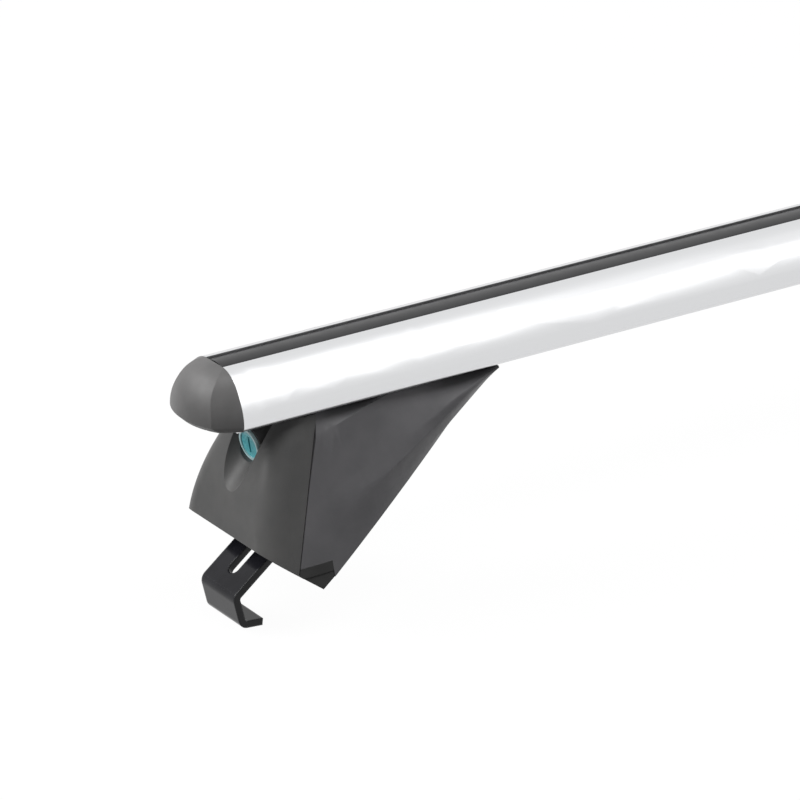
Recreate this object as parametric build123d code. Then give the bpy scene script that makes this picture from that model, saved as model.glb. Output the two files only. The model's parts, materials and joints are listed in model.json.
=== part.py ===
from build123d import *
import os
from math import atan2, cos, radians, sin, sqrt, tan

# A roof cross bar: an aluminium aero extrusion with a rubber strip in its top channel,
# moulded end caps, and a clamping foot under each end.
# X runs along the bar, Y across it, Z up. The origin is at the middle of the bar's top.
# A foot is drawn once, with x measured inward from the end of the bar, and mirrored.
# Millimetres throughout.

# Bar
BAR_LENGTH = 1200.0
BAR_WIDTH = 50.0
BAR_HEIGHT = 28.8
BAR_WALL = 2.0
BAR_WIDEST_Z = -23.8
BAR_SHOULDER = (21.2, -11.0)
CROWN_DIRECTION = (1.0, -0.12)
UNDERSIDE_BOW = (1.2, 0.4)
RAIL_HALF_WIDTH = 19.0
RAIL_HEIGHT = 2.2
RAIL_GROOVE = 0.7
WEB_THICKNESS = 1.8
TOP_SLOT_WIDTH = 14.4
TOP_CHANNEL_WIDTH = 22.0
TOP_CHANNEL_DEPTH = 9.0
CHANNEL_LIP = 2.0
FOOT_SLOT_WIDTH = 11.0
FOOT_CHANNEL_WIDTH = 20.0
FOOT_CHANNEL_DEPTH = 8.0

# Rubber strip in the top channel
STRIP_CLEARANCE = 0.15
STRIP_GROOVE_WIDTH = 1.2
STRIP_GROOVE_DEPTH = 0.6
STRIP_GROOVE_SPACING = 4.4
STRIP_HEAD = 3.0
STRIP_FOOT_WIDTH = 18.0
STRIP_FOOT_HEIGHT = 3.0
STRIP_END_GAP = 0.8

# End caps
CAP_NOSE = 18.0
CAP_CORNER = (-13.2, 17.8)
CAP_UNDERCUT = 3.0
CAP_PLUG_LENGTH = 22.0
CAP_PLUG_CLEARANCE = 0.25

# Foot: its front is an arc that bulges most at one point (x, z), and its sides flare downward
FOOT_TOP_GAP = 0.3
FRONT_BULGE = (5.1, -87.7)
FRONT_RADIUS = 87.3
FOOT_TOP_HALF_WIDTH = 20.5
FOOT_FLARE = 0.33
CORNER_RADIUS = 12.0
BLOCK_BACK = 45.0
BLOCK_FLOOR = -125.0
WALL = 2.6

# Arm of the foot, as stations (x, crease height, underside height, underside half-width)
ARM_START = 30.4
ARM_CREASE_Z = -84.0
ARM_STATIONS = (
    (80.0, -57.0, -75.9, 31.6),
    (146.0, -29.6, -37.5, 12.5),
)

# Sloping base that bears on the roof rail
BASE_POINT = (8.0, -89.3)
BASE_ANGLE = 35.8
PAD_TOP_Z = -93.8
PAD_BACK = 37.5
PAD_LEDGE = 4.5
PAD_LEDGE_DEPTH = 0.8

# Seam between the foot body and its lock cover
SEAM_TOP_X = 43.0
SEAM_LEAN = 19.8
SEAM_GAP = 0.5
RIM_DEPTH = 5.0
RIM_THICKNESS = 2.4
COVER_CLEARANCE = 0.35

# Hook of bent steel strip
HOOK_WIDTH = 28.2
HOOK_THICKNESS = 3.5
HOOK_BEND = (0.2, -114.5)
HOOK_ANGLE = 38.1
HOOK_SHANK = 68.0
HOOK_FACE = (4.6, -131.5)
HOOK_LIP = (16.6, -132.6)
HOOK_BEND_RADIUS = 5.0
HOOK_SLOT_WIDTH = 6.6
HOOK_SLOT_START = 9.5
HOOK_SLOT_END = 61.5
HOOK_PULL_IN = 16.0
WAY_END_GAP = 1.0
CHANNEL_SIDE_GAP = 0.5
HOOK_SLIDE_GAP = 0.1
PAD_NOTCH_GAP = 1.2

# Clamp bolt, square to the hook's shank
BOLT_STATION = 50.0
BOLT_RADIUS = 3.0
BOLT_HEAD_RADIUS = 5.0
BOLT_HEAD_HEIGHT = 6.0
BOLT_SOCKET = 5.0
BOLT_SOCKET_DEPTH = 3.2
BOLT_TIP = 1.5
BOLT_HOLE_RADIUS = 3.3
RUNNING_CLEARANCE = 0.05
PLATE_THICKNESS = 3.0
PLATE_LENGTH = 26.0
PLATE_WIDTH = 31.0
SEAT_HEIGHT = 9.0
BOLT_POCKET_RADIUS = 8.0
WASHER_RADIUS = 6.0
WASHER_THICKNESS = 1.6
NUT_LENGTH = 11.4
NUT_WIDTH = 13.4
NUT_HEIGHT = 5.0
NUT_GAP = 0.3
NUT_TRAVEL = 2.0

# Lock in the cover
LOCK_CENTRE = (18.3, -46.0)
LOCK_TILT = 10.0
LOCK_RADIUS = 7.9
LOCK_RIM = 1.2
LOCK_LENGTH = 15.0
LOCK_STAND_OUT = 1.5
CAM_STATION = 23.0
LOCK_BOSS_WALL = 1.4
LOCK_FIT = 0.05
BARREL_RECESS = 0.6
BARREL_STEM_RADIUS = 3.6
KEYWAY_WIDTH = 1.5
KEYWAY_HEIGHT = 8.4
KEYWAY_DEPTH = 7.0
CAM_THICKNESS = 2.5
CAM_WIDTH = 7.0
CAM_REACH = 9.5
CAM_SCREW_RADIUS = 1.5
CAM_SCREW_HEAD = 3.0
CAM_SCREW_LENGTH = 8.0
CAM_SCREW_HEAD_HEIGHT = 1.8
KEEPER_CLEARANCE = 1.0
KEEPER_DEPTH = 8.0

# Scoop in the cover, below the lock
SCOOP_RADIUS = 12.0
SCOOP_FOOT = (6.7, -68.0)
SCOOP_ANGLE = 52.0

# Screws that hold a foot to the bar's lower channel
FOOT_SCREW_STATIONS = (80.0, 124.0)
FOOT_SCREW_RADIUS = 3.0
FOOT_SCREW_HEAD_RADIUS = 5.0
FOOT_SCREW_HEAD_HEIGHT = 6.0
FOOT_SCREW_SEAT_Z = -36.5
FOOT_SCREW_HOLE_CLEARANCE = 0.3
FOOT_SCREW_BORE_CLEARANCE = 1.0
CHANNEL_NUT_LENGTH = 20.0
CHANNEL_NUT_CLEARANCE = 0.4

FAR = 400.0


def polar(angle):
    return cos(radians(angle)), sin(radians(angle))


def half_space(x, z, out_x, out_z):
    """A large block that fills the side of a plane (parallel to Y) which its normal points to."""
    plane = Plane(origin=(x, 0, z), x_dir=(0, 1, 0), z_dir=(out_x, 0, out_z))
    return plane * Box(FAR, FAR, FAR, align=(Align.CENTER, Align.CENTER, Align.MIN))


def block_between(low, high):
    """A box from its lowest corner to its highest."""
    size = [b - a for a, b in zip(low, high)]
    return Pos(*low) * Box(*size, align=(Align.MIN, Align.MIN, Align.MIN))


# Bar extrusion

def bar_section():
    """Outer outline of the extrusion, in sketch axes (y across, z up)."""
    slot = TOP_SLOT_WIDTH / 2
    side = BAR_WIDTH / 2
    turn = RAIL_HALF_WIDTH + RAIL_GROOVE
    rail_top = RAIL_HEIGHT - BAR_HEIGHT
    dome = Spline((slot, 0), BAR_SHOULDER, (side, BAR_WIDEST_Z), tangents=(CROWN_DIRECTION, (0, -1)))
    bow = (side - UNDERSIDE_BOW[0], rail_top + UNDERSIDE_BOW[1])
    under = ThreePointArc((side, BAR_WIDEST_Z), bow, (turn, rail_top))
    rail = Polyline((turn, rail_top), (RAIL_HALF_WIDTH, rail_top + RAIL_GROOVE),
                    (RAIL_HALF_WIDTH, -BAR_HEIGHT), (0, -BAR_HEIGHT))
    crown = Line((0, 0), (slot, 0))
    half = Curve() + [crown, dome, under, rail]
    return make_face(half + mirror(half, Plane.YZ))


def top_channel_void():
    """The T-shaped void that the rubber strip sits in."""
    slot = Rectangle(TOP_SLOT_WIDTH, 2 * CHANNEL_LIP)
    cavity = Pos(0, -CHANNEL_LIP) * Rectangle(TOP_CHANNEL_WIDTH, TOP_CHANNEL_DEPTH - CHANNEL_LIP,
                                              align=(Align.CENTER, Align.MAX))
    return slot + cavity


def foot_channel_void():
    """The T-shaped void along the underside that the feet's nuts slide in."""
    slot = Pos(0, -BAR_HEIGHT) * Rectangle(FOOT_SLOT_WIDTH, 2 * CHANNEL_LIP)
    cavity = Pos(0, CHANNEL_LIP - BAR_HEIGHT) * Rectangle(
        FOOT_CHANNEL_WIDTH, FOOT_CHANNEL_DEPTH - CHANNEL_LIP, align=(Align.CENTER, Align.MIN))
    return slot + cavity


def channel_walls(grow=0.0):
    """The two channels with their walls, joined by an upright web at each side."""
    wall = WEB_THICKNESS + grow
    upper = Rectangle(TOP_CHANNEL_WIDTH + 2 * wall, TOP_CHANNEL_DEPTH + wall,
                      align=(Align.CENTER, Align.MAX))
    lower = Pos(0, -BAR_HEIGHT) * Rectangle(FOOT_CHANNEL_WIDTH + 2 * wall, FOOT_CHANNEL_DEPTH + wall,
                                            align=(Align.CENTER, Align.MIN))
    spine = Rectangle(FOOT_CHANNEL_WIDTH + 2 * grow, BAR_HEIGHT, align=(Align.CENTER, Align.MAX))
    spine -= Rectangle(FOOT_CHANNEL_WIDTH - 2 * wall, BAR_HEIGHT, align=(Align.CENTER, Align.MAX))
    return upper + lower + spine


def bar_hollows(clearance=0.0):
    """The extrusion's closed chambers, or a plug for them with a clearance."""
    wall = BAR_WALL + clearance
    slot = TOP_SLOT_WIDTH / 2
    side = BAR_WIDTH / 2 - wall
    floor = RAIL_HEIGHT - BAR_HEIGHT + wall
    slope = atan2(BAR_WIDTH / 2 - slot, -BAR_WIDEST_Z)
    shoulder = (BAR_SHOULDER[0] - wall * cos(slope / 2), BAR_SHOULDER[1] - wall * sin(slope / 2))
    roof = Line((0, -wall), (slot, -wall))
    dome = Spline((slot, -wall), shoulder, (side, BAR_WIDEST_Z), tangents=(CROWN_DIRECTION, (0, -1)))
    base = Polyline((side, BAR_WIDEST_Z), (side - BAR_WALL / 2, floor), (RAIL_HALF_WIDTH - wall, floor),
                    (RAIL_HALF_WIDTH - wall, wall - BAR_HEIGHT), (0, wall - BAR_HEIGHT))
    half = Curve() + [roof, dome, base]
    return make_face(half + mirror(half, Plane.YZ)) - channel_walls(clearance)


def make_bar():
    section = bar_section() - bar_hollows() - top_channel_void() - foot_channel_void()
    return extrude(Plane.YZ.offset(-BAR_LENGTH / 2) * section, BAR_LENGTH)


def make_strip():
    """The T-shaped rubber strip, flush with the bar, with two fine grooves in its top."""
    head = Rectangle(TOP_SLOT_WIDTH - 2 * STRIP_CLEARANCE, STRIP_HEAD, align=(Align.CENTER, Align.MAX))
    for y in (-STRIP_GROOVE_SPACING / 2, STRIP_GROOVE_SPACING / 2):
        head -= Pos(y, 0) * Rectangle(STRIP_GROOVE_WIDTH, 2 * STRIP_GROOVE_DEPTH)
    foot = Pos(0, -CHANNEL_LIP - STRIP_CLEARANCE) * Rectangle(
        STRIP_FOOT_WIDTH, STRIP_FOOT_HEIGHT, align=(Align.CENTER, Align.MAX))
    length = BAR_LENGTH - 2 * STRIP_END_GAP
    return extrude(Plane.YZ.offset(-length / 2) * (head + foot), length)


def cap_front():
    """The nose's bowed front: an elliptical profile turned about an upright axis inside the bar."""
    corner_x, corner_y = CAP_CORNER
    bulge = CAP_NOSE + corner_x
    axis_x = (corner_y ** 2 + bulge ** 2) / (2 * bulge) - CAP_NOSE
    floor = RAIL_HEIGHT - BAR_HEIGHT
    arc = EllipticalCenterArc((0, BAR_WIDEST_Z), CAP_NOSE, -BAR_WIDEST_Z, start_angle=90, arc_size=90)
    rest = Polyline((-CAP_NOSE, BAR_WIDEST_Z), (CAP_UNDERCUT - CAP_NOSE, floor), (axis_x, floor),
                    (axis_x, 0), (0, 0))
    return revolve(Plane.XZ * make_face(Curve() + [arc, rest]), Axis((axis_x, 0, 0), (0, 0, 1)))


def make_cap():
    """End cap at the left: a nose whose sides draw in from the bar's section, and a plug."""
    corner_x, corner_y = CAP_CORNER
    section = Plane.YZ * bar_section()
    nose = cap_front()
    for side in (-1, 1):
        nose &= extrude(section, 2 * CAP_NOSE, dir=(corner_x, side * (BAR_WIDTH / 2 - corner_y), 0))
    return nose + extrude(Plane.YZ * bar_hollows(CAP_PLUG_CLEARANCE), CAP_PLUG_LENGTH)


# Foot moulding

def half_width(z):
    return FOOT_TOP_HALF_WIDTH + FOOT_FLARE * (-BAR_HEIGHT - z)


def front_x(z, inset=0.0):
    """Where the foot's curved front lies at a height."""
    return FRONT_BULGE[0] + FRONT_RADIUS - sqrt((FRONT_RADIUS - inset) ** 2 - (z - FRONT_BULGE[1]) ** 2)


def wedge(inset=0.0):
    """The space between the foot's two flaring side planes."""
    top, bottom = half_width(0) - inset, half_width(BLOCK_FLOOR * 2) - inset
    outline = Polyline((-top, 0), (-bottom, BLOCK_FLOOR * 2), (bottom, BLOCK_FLOOR * 2), (top, 0), close=True)
    return extrude(Plane.YZ * make_face(outline), FAR, both=True)


def is_front_corner(edge):
    return edge.bounding_box().size.Z > CORNER_RADIUS and edge.center().X < BLOCK_BACK / 2


def foot_block(inset=0.0):
    """The foot's outer end before its base is cut: a curved front between the two side planes."""
    top, bulge, floor = ((front_x(z, inset), z) for z in (-BAR_HEIGHT, FRONT_BULGE[1], BLOCK_FLOOR))
    back = Polyline(floor, (BLOCK_BACK, BLOCK_FLOOR), (BLOCK_BACK, -BAR_HEIGHT), top)
    side = Plane.XZ * make_face(Curve() + [ThreePointArc(top, bulge, floor), back])
    block = extrude(side, FAR, both=True) & wedge(inset)
    corners = block.edges().filter_by(is_front_corner)
    return fillet(corners, CORNER_RADIUS - inset)


def arm_section(x, crease_z, under_z, under_half):
    top = half_width(-BAR_HEIGHT)
    crease = half_width(crease_z)
    points = [(-top, -BAR_HEIGHT), (-crease, crease_z), (-under_half, under_z),
              (under_half, under_z), (crease, crease_z), (top, -BAR_HEIGHT)]
    return Plane.YZ.offset(x) * make_face(Polyline(*points, close=True))


def foot_arm():
    """The arm that runs inward under the bar, narrowing to its tip."""
    floor = BASE_POINT[1] - (ARM_START - BASE_POINT[0]) * tan(radians(BASE_ANGLE))
    root = (ARM_START, ARM_CREASE_Z, floor, half_width(floor))
    return loft(Sketch() + [arm_section(*station) for station in (root,) + ARM_STATIONS])


def foot_shape():
    """The whole foot before its base is cut."""
    block = foot_block() & block_between((-FAR, -FAR, -FAR), (ARM_START, FAR, FAR))
    return block + foot_arm()


def base_cut():
    out_x, out_z = polar(-90 - BASE_ANGLE)
    return half_space(*BASE_POINT, out_x, out_z)


def seam_side(gap=0.0, outward=True):
    """Everything on one side of the seam plane, kept back from it by a gap."""
    out_x, out_z = polar(180 - SEAM_LEAN)
    if not outward:
        out_x, out_z = -out_x, -out_z
    return half_space(SEAM_TOP_X + out_x * gap, -BAR_HEIGHT + out_z * gap, out_x, out_z)


# Places on the hook, in a frame at the bend with x up the shank and z square to its top face

def shank_frame(along=0.0):
    dir_x, dir_z = polar(HOOK_ANGLE)
    origin = (HOOK_BEND[0] + dir_x * along, 0, HOOK_BEND[1] + dir_z * along)
    return Plane(origin=origin, x_dir=(dir_x, 0, dir_z), z_dir=(-dir_z, 0, dir_x))


def lock_frame():
    """At the middle of the lock's face, with z pointing into the foot."""
    dir_x, dir_z = polar(LOCK_TILT)
    return Plane(origin=(LOCK_CENTRE[0], 0, LOCK_CENTRE[1]), x_dir=(0, 1, 0), z_dir=(dir_x, 0, dir_z))


def rod(radius, low, high):
    return Pos(0, 0, low) * Cylinder(radius, high - low, align=(Align.CENTER, Align.CENTER, Align.MIN))


def slab(length, width, low, high):
    return Pos(0, 0, low) * Box(length, width, high - low, align=(Align.CENTER, Align.CENTER, Align.MIN))


NUT_TOP = -HOOK_THICKNESS - HOOK_SLIDE_GAP
PLATE_TOP = HOOK_SLIDE_GAP + PLATE_THICKNESS
SEAT_TOP = PLATE_TOP + SEAT_HEIGHT
HEAD_SEAT = SEAT_TOP + WASHER_THICKNESS
BOLT_END = NUT_TOP - NUT_HEIGHT - BOLT_TIP


def hook_way(gap=HOOK_SLIDE_GAP):
    """The slanted way that the hook's shank slides in, open at the base."""
    run_in = HOOK_SHANK + HOOK_PULL_IN + WAY_END_GAP
    height = HOOK_THICKNESS + 2 * gap
    way = Box(run_in, HOOK_WIDTH + 2 * CHANNEL_SIDE_GAP, height, align=(Align.MIN, Align.CENTER, Align.MAX))
    return shank_frame() * Pos(0, 0, gap) * way


def clamp_voids():
    """Everything cut from the body for the clamp: hook way, plate, nut pocket and bolt hole."""
    nut_floor = NUT_TOP - NUT_HEIGHT - NUT_TRAVEL - NUT_GAP
    nut = slab(NUT_LENGTH + 2 * NUT_GAP, NUT_WIDTH + 2 * NUT_GAP, nut_floor, NUT_TOP)
    plate = slab(PLATE_LENGTH, PLATE_WIDTH, 0, PLATE_TOP)
    hole = rod(BOLT_HOLE_RADIUS, 0, SEAT_TOP)
    pocket = rod(BOLT_POCKET_RADIUS, SEAT_TOP, SEAT_TOP + FAR / 4)
    return hook_way() + shank_frame(BOLT_STATION) * (nut + plate + hole + pocket)


def keeper_voids():
    """The slot that the lock's cam enters by, and the round space behind it that the cam turns in."""
    start = CAM_STATION - KEEPER_CLEARANCE / 2
    reach = CAM_REACH + KEEPER_CLEARANCE
    half = CAM_WIDTH / 2 + KEEPER_CLEARANCE
    turning = rod(reach, start, start + KEEPER_DEPTH)
    entry = block_between((-half, -reach, 0), (half, half, start))
    return lock_frame() * (turning + entry)


def foot_screw_voids():
    voids = Part()
    for x in FOOT_SCREW_STATIONS:
        hole = rod(FOOT_SCREW_RADIUS + FOOT_SCREW_HOLE_CLEARANCE, FOOT_SCREW_SEAT_Z, 0)
        bore = rod(FOOT_SCREW_HEAD_RADIUS + FOOT_SCREW_BORE_CLEARANCE, -FAR, FOOT_SCREW_SEAT_Z)
        voids += Pos(x, 0, 0) * (hole + bore)
    return voids


def pad_space():
    """The corner under the body that the rail pad fills."""
    return block_between((-FAR / 2, -FAR / 2, -FAR / 2), (PAD_BACK, FAR / 2, PAD_TOP_Z))


def make_foot_body():
    outer = foot_shape() & seam_side(outward=False)
    rim = foot_block(WALL + COVER_CLEARANCE) - foot_block(WALL + COVER_CLEARANCE + RIM_THICKNESS)
    rim &= seam_side() - seam_side(RIM_DEPTH)
    rim -= block_between((-FAR, -FAR, -BAR_HEIGHT - WALL), (FAR, FAR, FAR))
    body = outer + rim - pad_space()
    body -= base_cut()
    return body - clamp_voids() - keeper_voids() - foot_screw_voids()


def make_pad():
    """Rubber pad that fills the corner under the body, with a stepped ledge round its side."""
    pad = (foot_shape() & seam_side(outward=False) & pad_space()) - base_cut()
    band = block_between((-FAR, -FAR, -FAR), (FAR, FAR, PAD_TOP_Z - PAD_LEDGE)) - wedge(PAD_LEDGE_DEPTH)
    return pad - band - hook_way(PAD_NOTCH_GAP)


def scoop(grow=0.0):
    """A round-bottomed channel that runs out and down from the lock."""
    dir_x, dir_z = polar(SCOOP_ANGLE)
    origin = (SCOOP_FOOT[0] - dir_z * SCOOP_RADIUS, 0, SCOOP_FOOT[1] + dir_x * SCOOP_RADIUS)
    plane = Plane(origin=origin, x_dir=(0, 1, 0), z_dir=(dir_x, 0, dir_z))
    return plane * rod(SCOOP_RADIUS + grow, -FAR / 2, FAR / 2)


def make_lock_cover():
    """Shell over the foot's outer end, with the scoop and the boss that holds the lock."""
    outer = foot_block() & seam_side(SEAM_GAP)
    cavity = foot_block(WALL) & block_between((-FAR, -FAR, -FAR), (FAR, FAR, -BAR_HEIGHT - WALL))
    shell = outer - cavity
    boss = lock_frame() * rod(LOCK_RADIUS + LOCK_BOSS_WALL, LOCK_STAND_OUT, LOCK_LENGTH)
    shell += outer & scoop(WALL)
    shell -= scoop()
    shell += boss & seam_side(SEAM_GAP)
    shell -= lock_frame() * rod(LOCK_RADIUS, -SCOOP_RADIUS, LOCK_LENGTH * 2)
    shell &= block_between((-FAR, -FAR, -FAR), (FAR, FAR, -BAR_HEIGHT - FOOT_TOP_GAP))
    return shell - base_cut()


# Clamp

def make_hook():
    """Steel strip bent into a hook, with its slot along the shank."""
    dir_x, dir_z = polar(HOOK_ANGLE)
    tip = (HOOK_BEND[0] + dir_x * HOOK_SHANK, HOOK_BEND[1] + dir_z * HOOK_SHANK)
    path = FilletPolyline(tip, HOOK_BEND, HOOK_FACE, HOOK_LIP, radius=HOOK_BEND_RADIUS)
    strip = make_face(offset(path, HOOK_THICKNESS, side=Side.LEFT))
    hook = extrude(Plane.XZ * strip, HOOK_WIDTH / 2, both=True)
    middle = (HOOK_SLOT_START + HOOK_SLOT_END) / 2
    slot = SlotOverall(HOOK_SLOT_END - HOOK_SLOT_START, HOOK_SLOT_WIDTH)
    return hook - shank_frame(middle) * extrude(slot, HOOK_THICKNESS * 2, both=True)


def make_clamp_plate():
    plate = slab(PLATE_LENGTH, PLATE_WIDTH, HOOK_SLIDE_GAP, PLATE_TOP)
    return shank_frame(BOLT_STATION) * (plate - rod(BOLT_HOLE_RADIUS, 0, SEAT_TOP))


def make_bolt():
    shank = rod(BOLT_RADIUS, BOLT_END, HEAD_SEAT)
    head_top = HEAD_SEAT + BOLT_HEAD_HEIGHT
    head = rod(BOLT_HEAD_RADIUS, HEAD_SEAT, head_top)
    socket = extrude(RegularPolygon(BOLT_SOCKET / 2, 6, major_radius=False), BOLT_SOCKET_DEPTH)
    return shank_frame(BOLT_STATION) * (shank + head - Pos(0, 0, head_top - BOLT_SOCKET_DEPTH) * socket)


def make_washer():
    washer = rod(WASHER_RADIUS, SEAT_TOP, HEAD_SEAT) - rod(BOLT_RADIUS + RUNNING_CLEARANCE, SEAT_TOP, HEAD_SEAT)
    return shank_frame(BOLT_STATION) * washer


def make_nut():
    nut = slab(NUT_LENGTH, NUT_WIDTH, NUT_TOP - NUT_HEIGHT, NUT_TOP)
    nut -= rod(BOLT_RADIUS + RUNNING_CLEARANCE, NUT_TOP - NUT_HEIGHT, NUT_TOP)
    return shank_frame(BOLT_STATION) * nut


# Lock

def make_lock_housing():
    housing = rod(LOCK_RADIUS - LOCK_FIT, 0, LOCK_LENGTH)
    return lock_frame() * (housing - rod(LOCK_RADIUS - LOCK_RIM, 0, LOCK_LENGTH))


def make_lock_barrel():
    """The part of the lock that the key turns, with its keyway and the stem that carries the cam."""
    barrel = rod(LOCK_RADIUS - LOCK_RIM - RUNNING_CLEARANCE, BARREL_RECESS, LOCK_LENGTH)
    stem = rod(BARREL_STEM_RADIUS, LOCK_LENGTH, CAM_STATION)
    keyway = slab(KEYWAY_WIDTH, KEYWAY_HEIGHT, 0, KEYWAY_DEPTH)
    tapped = rod(CAM_SCREW_RADIUS + RUNNING_CLEARANCE, CAM_STATION - CAM_SCREW_LENGTH, CAM_STATION)
    return lock_frame() * (barrel + stem - keyway - tapped)


def make_lock_cam():
    """Lever on the back of the barrel that turns behind the body's keeper wall."""
    arm = CAM_REACH - CAM_WIDTH / 2
    lever = Pos(0, -arm / 2) * Rot(0, 0, 90) * SlotCenterToCenter(arm, CAM_WIDTH)
    lever -= Circle(CAM_SCREW_RADIUS + RUNNING_CLEARANCE)
    return lock_frame() * Pos(0, 0, CAM_STATION) * extrude(lever, CAM_THICKNESS)


def make_cam_screw():
    low = CAM_STATION + CAM_THICKNESS
    return lock_frame() * (rod(CAM_SCREW_RADIUS, CAM_STATION - CAM_SCREW_LENGTH, low)
                           + rod(CAM_SCREW_HEAD, low, low + CAM_SCREW_HEAD_HEIGHT))


# Fixing to the bar

def make_foot_screws():
    screws = []
    tip = FOOT_CHANNEL_DEPTH - BAR_HEIGHT - CHANNEL_NUT_CLEARANCE
    base = FOOT_SCREW_SEAT_Z - FOOT_SCREW_HEAD_HEIGHT
    hexagon = RegularPolygon(BOLT_SOCKET / 2, 6, major_radius=False)
    socket = Pos(0, 0, base) * extrude(hexagon, BOLT_SOCKET_DEPTH)
    for x in FOOT_SCREW_STATIONS:
        shank = rod(FOOT_SCREW_RADIUS, FOOT_SCREW_SEAT_Z, tip)
        head = rod(FOOT_SCREW_HEAD_RADIUS, base, FOOT_SCREW_SEAT_Z)
        screws.append(Pos(x, 0, 0) * (shank + head - socket))
    return Compound(children=[s.solid() for s in screws])


def make_channel_nuts():
    nuts = []
    low = CHANNEL_LIP - BAR_HEIGHT
    high = FOOT_CHANNEL_DEPTH - BAR_HEIGHT - CHANNEL_NUT_CLEARANCE
    for x in FOOT_SCREW_STATIONS:
        nut = slab(CHANNEL_NUT_LENGTH, FOOT_CHANNEL_WIDTH - 2 * CHANNEL_NUT_CLEARANCE, low, high)
        nut -= rod(FOOT_SCREW_RADIUS + RUNNING_CLEARANCE, low, high)
        nuts.append(Pos(x, 0, 0) * nut)
    return Compound(children=[n.solid() for n in nuts])


# Files

FOOT_PARTS = {
    "end_cap": make_cap,
    "foot_body": make_foot_body,
    "rail_pad": make_pad,
    "lock_cover": make_lock_cover,
    "clamp_hook": make_hook,
    "clamp_plate": make_clamp_plate,
    "clamp_bolt": make_bolt,
    "clamp_washer": make_washer,
    "clamp_nut": make_nut,
    "lock_housing": make_lock_housing,
    "lock_barrel": make_lock_barrel,
    "lock_cam": make_lock_cam,
    "cam_screw": make_cam_screw,
    "foot_screws": make_foot_screws,
    "channel_nuts": make_channel_nuts,
}


def main():
    os.makedirs("parts", exist_ok=True)
    export_step(make_bar(), "parts/cross_bar.step")
    export_step(make_strip(), "parts/top_strip.step")
    for name, make in FOOT_PARTS.items():
        left = Pos(-BAR_LENGTH / 2, 0, 0) * make()
        export_step(left, f"parts/{name}_left.step")
        export_step(mirror(left, Plane.YZ), f"parts/{name}_right.step")


main()
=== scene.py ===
import json
from math import radians

import bmesh
import bpy
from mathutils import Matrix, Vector


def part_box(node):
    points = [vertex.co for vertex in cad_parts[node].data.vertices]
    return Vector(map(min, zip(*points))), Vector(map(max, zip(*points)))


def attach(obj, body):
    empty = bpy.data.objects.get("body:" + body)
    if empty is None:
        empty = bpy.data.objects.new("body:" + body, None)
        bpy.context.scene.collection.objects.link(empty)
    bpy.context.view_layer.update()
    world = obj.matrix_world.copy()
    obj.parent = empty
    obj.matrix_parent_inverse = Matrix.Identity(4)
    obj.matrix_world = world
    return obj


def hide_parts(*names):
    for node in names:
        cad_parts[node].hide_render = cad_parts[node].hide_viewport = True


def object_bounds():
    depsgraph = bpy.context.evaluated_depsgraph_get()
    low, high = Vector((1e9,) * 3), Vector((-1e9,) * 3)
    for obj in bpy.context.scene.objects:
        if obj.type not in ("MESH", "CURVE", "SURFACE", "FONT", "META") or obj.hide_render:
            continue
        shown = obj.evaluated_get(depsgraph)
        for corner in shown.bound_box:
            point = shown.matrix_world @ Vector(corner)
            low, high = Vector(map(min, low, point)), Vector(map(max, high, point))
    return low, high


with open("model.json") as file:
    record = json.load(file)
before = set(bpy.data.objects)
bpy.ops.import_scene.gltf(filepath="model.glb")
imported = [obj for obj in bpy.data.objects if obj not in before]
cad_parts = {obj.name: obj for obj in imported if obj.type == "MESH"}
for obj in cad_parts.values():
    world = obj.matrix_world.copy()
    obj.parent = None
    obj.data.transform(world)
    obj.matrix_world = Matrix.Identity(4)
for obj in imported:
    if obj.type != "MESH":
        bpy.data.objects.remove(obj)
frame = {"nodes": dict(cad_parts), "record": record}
nodes = frame["nodes"]
scene = bpy.context.scene
cad_low, cad_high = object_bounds()


# Materials: lengths are in metres, and a noise's scale is in waves per metre

NOISE_LOW = 0.3
NOISE_HIGH = 0.7
CLOUD_SCALE = 55
WEAR_SCALE = 160
SPARK_SCALE = 2600
SPARK_DEPTH = 0.00005
MOULDED_EDGE_RADIUS = 0.0004
PAD_EDGE_RADIUS = 0.0006
HOOK_EDGE_RADIUS = 0.0013
EDGE_SAMPLES = 4


def new_material(name, **sockets):
    """A Principled material whose sockets are set by name."""
    material = bpy.data.materials.new(name)
    material.use_nodes = True
    shader = material.node_tree.nodes["Principled BSDF"]
    for socket, value in sockets.items():
        shader.inputs[socket.replace("_", " ")].default_value = value
    return material


def grain(material, scale, stretch=(1, 1, 1), detail=3.0):
    """Noise in the object's own metres. A stretch below 1 draws it out along that axis."""
    tree = material.node_tree
    coordinates = tree.nodes.new("ShaderNodeTexCoord")
    mapping = tree.nodes.new("ShaderNodeMapping")
    mapping.inputs["Scale"].default_value = stretch
    noise = tree.nodes.new("ShaderNodeTexNoise")
    noise.inputs["Scale"].default_value = scale
    noise.inputs["Detail"].default_value = detail
    tree.links.new(coordinates.outputs["Object"], mapping.inputs["Vector"])
    tree.links.new(mapping.outputs["Vector"], noise.inputs["Vector"])
    return noise.outputs["Fac"]


def roughen(material, noise, low, high):
    """Varies the roughness between two values with a noise."""
    tree = material.node_tree
    spread = tree.nodes.new("ShaderNodeMapRange")
    spread.inputs["From Min"].default_value = NOISE_LOW
    spread.inputs["From Max"].default_value = NOISE_HIGH
    spread.inputs["To Min"].default_value = low
    spread.inputs["To Max"].default_value = high
    tree.links.new(noise, spread.inputs["Value"])
    tree.links.new(spread.outputs["Result"], tree.nodes["Principled BSDF"].inputs["Roughness"])


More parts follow.
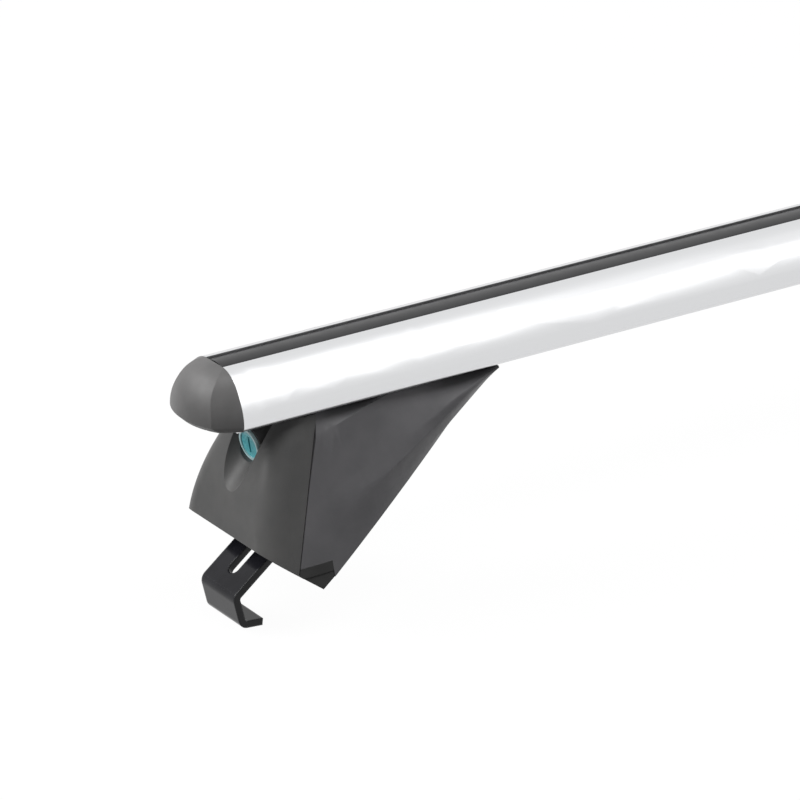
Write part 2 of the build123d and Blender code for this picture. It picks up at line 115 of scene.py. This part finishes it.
def tint(material, noise, low, high):
    """Mixes the base colour between two close tones with a noise."""
    tree = material.node_tree
    ramp = tree.nodes.new("ShaderNodeValToRGB")
    for element, position, tone in zip(ramp.color_ramp.elements, (NOISE_LOW, NOISE_HIGH), (low, high)):
        element.position = position
        element.color = (*tone, 1)
    tree.links.new(noise, ramp.inputs["Fac"])
    tree.links.new(ramp.outputs["Color"], tree.nodes["Principled BSDF"].inputs["Base Color"])


def bump(material, noise, depth, strength, edge=0.0):
    """Raises the surface by a noise, and shades edges as rounded where a radius is given."""
    tree = material.node_tree
    raised = tree.nodes.new("ShaderNodeBump")
    raised.inputs["Strength"].default_value = strength
    raised.inputs["Distance"].default_value = depth
    tree.links.new(noise, raised.inputs["Height"])
    if edge:
        soft_edge = tree.nodes.new("ShaderNodeBevel")
        soft_edge.samples = EDGE_SAMPLES
        soft_edge.inputs["Radius"].default_value = edge
        tree.links.new(soft_edge.outputs["Normal"], raised.inputs["Normal"])
    tree.links.new(raised.outputs["Normal"], tree.nodes["Principled BSDF"].inputs["Normal"])


def moulded(name, low, high, roughness, specular=0.2, edge=MOULDED_EDGE_RADIUS):
    """Dark moulded plastic or rubber: fine spark-eroded grain over slow cloudy marks."""
    material = new_material(name, Specular_IOR_Level=specular)
    tint(material, grain(material, scale=CLOUD_SCALE, detail=5.0), low, high)
    roughen(material, grain(material, scale=WEAR_SCALE, detail=4.0), *roughness)
    spark = grain(material, scale=SPARK_SCALE, detail=2.0)
    bump(material, spark, depth=SPARK_DEPTH, strength=0.35, edge=edge)
    return material


def aluminium():
    """Satin anodised aluminium, with faint streaks along the bar."""
    material = new_material("bar_aluminium", Metallic=1.0)
    streaks = grain(material, scale=900, stretch=(0.0004, 1, 1))
    tint(material, streaks, low=(0.683, 0.688, 0.698), high=(0.693, 0.698, 0.708))
    roughen(material, grain(material, scale=700, stretch=(0.0005, 1, 1)), low=0.288, high=0.292)
    bump(material, grain(material, scale=1500, stretch=(0.0003, 1, 1)), depth=0.000004, strength=0.03)
    return material


def hook_paint():
    """Gloss black paint, a little uneven, which rounds the steel's edges."""
    material = new_material("hook_paint", Specular_IOR_Level=0.22)
    tint(material, grain(material, scale=90), low=(0.006, 0.006, 0.008), high=(0.012, 0.012, 0.015))
    roughen(material, grain(material, scale=240), low=0.08, high=0.13)
    runs = grain(material, scale=420, detail=2.0)
    bump(material, runs, depth=0.00004, strength=0.12, edge=HOOK_EDGE_RADIUS)
    return material


def zinc():
    """Zinc-plated steel, slightly mottled."""
    material = new_material("zinc_steel", Metallic=1.0)
    tint(material, grain(material, scale=260), low=(0.52, 0.53, 0.55), high=(0.66, 0.67, 0.68))
    roughen(material, grain(material, scale=500), low=0.28, high=0.42)
    bump(material, grain(material, scale=1800), depth=0.00001, strength=0.3)
    return material


def lock_plastic(name, low, high, roughness):
    """Smooth moulded plastic for the lock's rim and barrel."""
    material = new_material(name, Specular_IOR_Level=0.5)
    tint(material, grain(material, scale=700), low, high)
    roughen(material, grain(material, scale=900), *roughness)
    bump(material, grain(material, scale=2400), depth=0.00002, strength=0.2)
    return material


looks = {
    "bar_aluminium": aluminium(),
    "strip_rubber": moulded("strip_rubber", low=(0.007, 0.007, 0.008), high=(0.012, 0.012, 0.013),
                            roughness=(0.28, 0.36), specular=0.3),
    "cap_plastic": moulded("cap_plastic", low=(0.080, 0.079, 0.079), high=(0.112, 0.110, 0.110),
                           roughness=(0.38, 0.50)),
    "foot_plastic": moulded("foot_plastic", low=(0.058, 0.058, 0.058), high=(0.074, 0.073, 0.072),
                            roughness=(0.42, 0.52)),
    "pad_rubber": moulded("pad_rubber", low=(0.018, 0.018, 0.018), high=(0.028, 0.028, 0.028),
                          roughness=(0.6, 0.75), edge=PAD_EDGE_RADIUS),
    "hook_paint": hook_paint(),
    "zinc_steel": zinc(),
    "lock_rim": lock_plastic("lock_rim", low=(0.42, 0.60, 0.62), high=(0.50, 0.68, 0.70),
                             roughness=(0.25, 0.4)),
    "lock_face": lock_plastic("lock_face", low=(0.09, 0.42, 0.47), high=(0.16, 0.54, 0.59),
                              roughness=(0.15, 0.3)),
}
# The foot bodies are painted a little paler than the covers, which share their slot: painted light,
# standing in for the bodies' more brightly lit sides
foot_body_painted_lit_look = moulded("foot_body_painted_lit_plastic", low=(0.078, 0.077, 0.081), high=(0.098, 0.096, 0.101),
                         roughness=(0.40, 0.50))


def dress_nodes():
    """Gives every CAD node its look and smooth shading."""
    slots = {row["node"]: row["material_slot"] for row in frame["record"]["subparts"]}
    for name, node in nodes.items():
        # The foot bodies take the paler copy of the foot plastic, whose paleness is painted light
        look = foot_body_painted_lit_look if name.startswith("foot_body") else looks[slots[name]]
        node.data.materials.clear()
        node.data.materials.append(look)
        node.data.shade_smooth()


def new_piece(name, mesh, look, sharp_angle):
    """Turns a finished bmesh into a smooth object whose edges are sharp above an angle in radians."""
    data = bpy.data.meshes.new(name)
    mesh.to_mesh(data)
    mesh.free()
    data.materials.append(look)
    data.shade_smooth()
    data.set_sharp_from_angle(angle=sharp_angle)
    piece = bpy.data.objects.new(name, data)
    scene.collection.objects.link(piece)
    return piece


# Strip: it stands for the CAD strip, and its top is a low crown

STRIP_HALF_WIDTH = 0.00705
STRIP_DEPTH = 0.0045
STRIP_CROWN = 0.0010
STRIP_EDGE_DROP = 0.0006
STRIP_EDGE_POWER = 12
STRIP_STEPS = 24
STRIP_SHARP_ANGLE = 0.6


def strip_profile(top):
    """The strip's section, as y and z: a low crown with rounded edges, and straight sides."""
    points = [(-STRIP_HALF_WIDTH, top - STRIP_DEPTH)]
    for step in range(STRIP_STEPS + 1):
        across = -1 + 2 * step / STRIP_STEPS
        rounding = STRIP_EDGE_DROP * abs(across) ** STRIP_EDGE_POWER
        points.append((across * STRIP_HALF_WIDTH, top - STRIP_CROWN * across ** 2 - rounding))
    points.append((STRIP_HALF_WIDTH, top - STRIP_DEPTH))
    return points


def make_strip():
    """The strip's section, drawn out along the CAD strip's length."""
    low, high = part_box("top_strip")
    profile = strip_profile(high[2])
    mesh = bmesh.new()
    ends = [[mesh.verts.new((x, y, z)) for y, z in profile] for x in (low[0], high[0])]
    for end in ends:
        mesh.faces.new(end)
    for here in range(len(profile)):
        there = (here + 1) % len(profile)
        mesh.faces.new((ends[0][here], ends[0][there], ends[1][there], ends[1][here]))
    bmesh.ops.recalc_face_normals(mesh, faces=mesh.faces)
    strip = new_piece("strip_crowned", mesh, looks["strip_rubber"], STRIP_SHARP_ANGLE)
    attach(strip, "rack")
    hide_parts("top_strip")


# Foot sides: each arm swells to a crease that runs from the foot's middle up to the arm's tip

BAR_END = 0.6
ARM_TOP = -0.0288
# Each point of these two lines is a distance in from the bar's end, and a height
CREASE_LINE = ((0.0304, -0.084), (0.080, -0.057), (0.146, -0.0296))
ARM_EDGE = ((0.0304, -0.1055), (0.080, -0.0759), (0.146, -0.0375))
CREASE_START = 0.042
CREASE_FULL = 0.082
CREASE_TIP = CREASE_LINE[-1][0]
CREASE_SWELL = 0.17
CREASE_SHARP_ANGLE = 0.2
WALL_START = 0.55
WALL_FULL = 0.8
CUT_SPACING = 0.008
MERGE_DISTANCE = 0.000002


def progress(value, start, full):
    """How far a value has come from start to full, from 0 to 1."""
    return min(1.0, max(0.0, (value - start) / (full - start)))


def height_at(line, along):
    """The height of a line of three points at a distance along the arm."""
    before, after = line[:2] if along < line[1][0] else line[1:]
    share = (along - before[0]) / (after[0] - before[0])
    return before[1] + share * (after[1] - before[1])


def swell(along, height):
    """How far the arm's side stands out: nothing at its edges, and most at the crease."""
    crease = height_at(CREASE_LINE, along)
    limit = ARM_TOP if height > crease else height_at(ARM_EDGE, along)
    most = CREASE_SWELL * (ARM_TOP - crease)
    return most * progress(along, CREASE_START, CREASE_FULL) * progress(height, limit, crease)


def cut(mesh, point, normal):
    """Adds edges where a plane crosses the mesh, and removes nothing."""
    geometry = mesh.verts[:] + mesh.edges[:] + mesh.faces[:]
    bmesh.ops.bisect_plane(mesh, geom=geometry, plane_co=point, plane_no=normal)


def cut_for_crease(mesh, sign):
    """Adds edges along the crease and at even steps along the arm, for the sides to bend at."""
    for before, after in zip(CREASE_LINE, CREASE_LINE[1:]):
        run = after[0] - before[0]
        rise = after[1] - before[1]
        cut(mesh, (sign * (before[0] - BAR_END), 0, before[1]), (-sign * rise, 0, run))
    station = CREASE_START
    while station < CREASE_TIP:
        cut(mesh, (sign * (station - BAR_END), 0, 0), (1, 0, 0))
        station += CUT_SPACING


def swell_sides(mesh):
    """Moves the outer walls out to the crease, and leaves what lies well inside them."""
    places = [BAR_END - abs(vert.co.x) for vert in mesh.verts]
    widest = {}
    for vert, along in zip(mesh.verts, places):
        station = round(along / CUT_SPACING)
        widest[station] = max(widest.get(station, 0), abs(vert.co.y))
    for vert, along in zip(mesh.verts, places):
        if CREASE_START < along < CREASE_TIP:
            across = abs(vert.co.y) / widest[round(along / CUT_SPACING)]
            out = swell(along, vert.co.z) * progress(across, WALL_START, WALL_FULL)
            vert.co.y += out if vert.co.y > 0 else -out


def make_creased_body(side, sign):
    """A copy of a foot body with its sides creased. The sign is 1 on the left and -1 on the right."""
    mesh = bmesh.new()
    mesh.from_mesh(nodes[f"foot_body_{side}"].data)
    bmesh.ops.remove_doubles(mesh, verts=mesh.verts, dist=MERGE_DISTANCE)
    cut_for_crease(mesh, sign)
    swell_sides(mesh)
    # The creased body takes the paler copy of the foot plastic, whose paleness is painted light
    body = new_piece(f"foot_body_{side}_creased", mesh, foot_body_painted_lit_look, CREASE_SHARP_ANGLE)
    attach(body, "rack")
    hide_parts(f"foot_body_{side}")


# Stage: soft lamps, a floor and world that look white, and the photo's camera

LEFT_FOOT = (-0.53, 0, -0.06)
FLOOR_SIZE = 24
FLOOR_GAP = 0.0005
FLOOR_GREY = 0.22
FLOOR_ROUGHNESS = 0.9
FLOOR_WHITE_SHARE = 0.88
FLOOR_WHITE_STRENGTH = 1.1
WORLD_STRENGTH = 0.12
WHITE = (1, 1, 1, 1)
CAMERA_PLACE = (-1.725386, -1.772755, 0.892459)
CAMERA_LENS_MM = 224.06
CAMERA_SENSOR_MM = 36
CAMERA_NEAR = 0.05
CAMERA_FAR = 60
CAMERA_TILT_DEGREES = 66.5379
CAMERA_ROLL_DEGREES = -0.4521
CAMERA_TURN_DEGREES = -34.5356


def area_light(name, place, size, watts):
    """A rectangular lamp that faces the left foot."""
    lamp = bpy.data.lights.new(name, "AREA")
    lamp.shape = "RECTANGLE"
    lamp.size, lamp.size_y = size
    lamp.energy = watts
    item = bpy.data.objects.new(name, lamp)
    item.location = place
    item.rotation_euler = (Vector(place) - Vector(LEFT_FOOT)).to_track_quat("Z", "Y").to_euler()
    scene.collection.objects.link(item)


def white_where_seen(tree, shader, share, strength=1.0):
    """Mixes white light into a shader for rays from the camera, a reflection or glass."""
    path = tree.nodes.new("ShaderNodeLightPath")
    seen = path.outputs["Is Camera Ray"]
    for name in ("Is Glossy Ray", "Is Transmission Ray"):
        either = tree.nodes.new("ShaderNodeMath")
        either.operation = "MAXIMUM"
        tree.links.new(seen, either.inputs[0])
        tree.links.new(path.outputs[name], either.inputs[1])
        seen = either.outputs[0]
    part = tree.nodes.new("ShaderNodeMath")
    part.operation = "MULTIPLY"
    part.inputs[1].default_value = share
    tree.links.new(seen, part.inputs[0])
    mix = tree.nodes.new("ShaderNodeMixShader")
    white = tree.nodes.new("ShaderNodeEmission")
    white.inputs["Strength"].default_value = strength
    tree.links.new(part.outputs[0], mix.inputs["Fac"])
    tree.links.new(shader, mix.inputs[1])
    tree.links.new(white.outputs[0], mix.inputs[2])
    return mix.outputs[0]


def make_floor():
    """A floor just under the lowest point, which looks white and still takes the shadow."""
    bpy.ops.mesh.primitive_plane_add(size=FLOOR_SIZE, location=(0, 0, cad_low.z - FLOOR_GAP))
    floor = bpy.context.object
    floor.name = "floor"
    material = bpy.data.materials.new("floor_white")
    material.use_nodes = True
    tree = material.node_tree
    shader = tree.nodes["Principled BSDF"]
    shader.inputs["Base Color"].default_value = (FLOOR_GREY, FLOOR_GREY, FLOOR_GREY, 1)
    shader.inputs["Roughness"].default_value = FLOOR_ROUGHNESS
    mixed = white_where_seen(tree, shader.outputs["BSDF"], FLOOR_WHITE_SHARE, FLOOR_WHITE_STRENGTH)
    tree.links.new(mixed, tree.nodes["Material Output"].inputs["Surface"])
    floor.data.materials.append(material)


def make_world():
    """A dim even light that is white where it is seen."""
    world = bpy.data.worlds.new("studio")
    world.use_nodes = True
    tree = world.node_tree
    plain = tree.nodes["Background"]
    plain.inputs["Color"].default_value = WHITE
    plain.inputs["Strength"].default_value = WORLD_STRENGTH
    mixed = white_where_seen(tree, plain.outputs[0], share=1.0)
    tree.links.new(mixed, tree.nodes["World Output"].inputs["Surface"])
    scene.world = world


def make_camera():
    """The photo's camera. Its tilt is from straight down, and its turn is about the vertical."""
    data = bpy.data.cameras.new("camera")
    data.lens = CAMERA_LENS_MM
    data.sensor_width = CAMERA_SENSOR_MM
    data.clip_start = CAMERA_NEAR
    data.clip_end = CAMERA_FAR
    camera = bpy.data.objects.new("camera", data)
    camera.location = CAMERA_PLACE
    angles = (CAMERA_TILT_DEGREES, CAMERA_ROLL_DEGREES, CAMERA_TURN_DEGREES)
    camera.rotation_euler = [radians(angle) for angle in angles]
    scene.collection.objects.link(camera)
    scene.camera = camera


dress_nodes()
area_light("left", place=(-2.2, 1.0, 1.4), size=(1.6, 1.6), watts=80)
area_light("over", place=(-0.29, -0.91, 2.15), size=(1.2, 1.2), watts=44)
area_light("right", place=(0.82, -1.79, 1.24), size=(2.0, 0.7), watts=6)
make_strip()
make_creased_body("left", 1)
make_creased_body("right", -1)
make_floor()
make_world()
make_camera()
scene.view_settings.view_transform = "Standard"
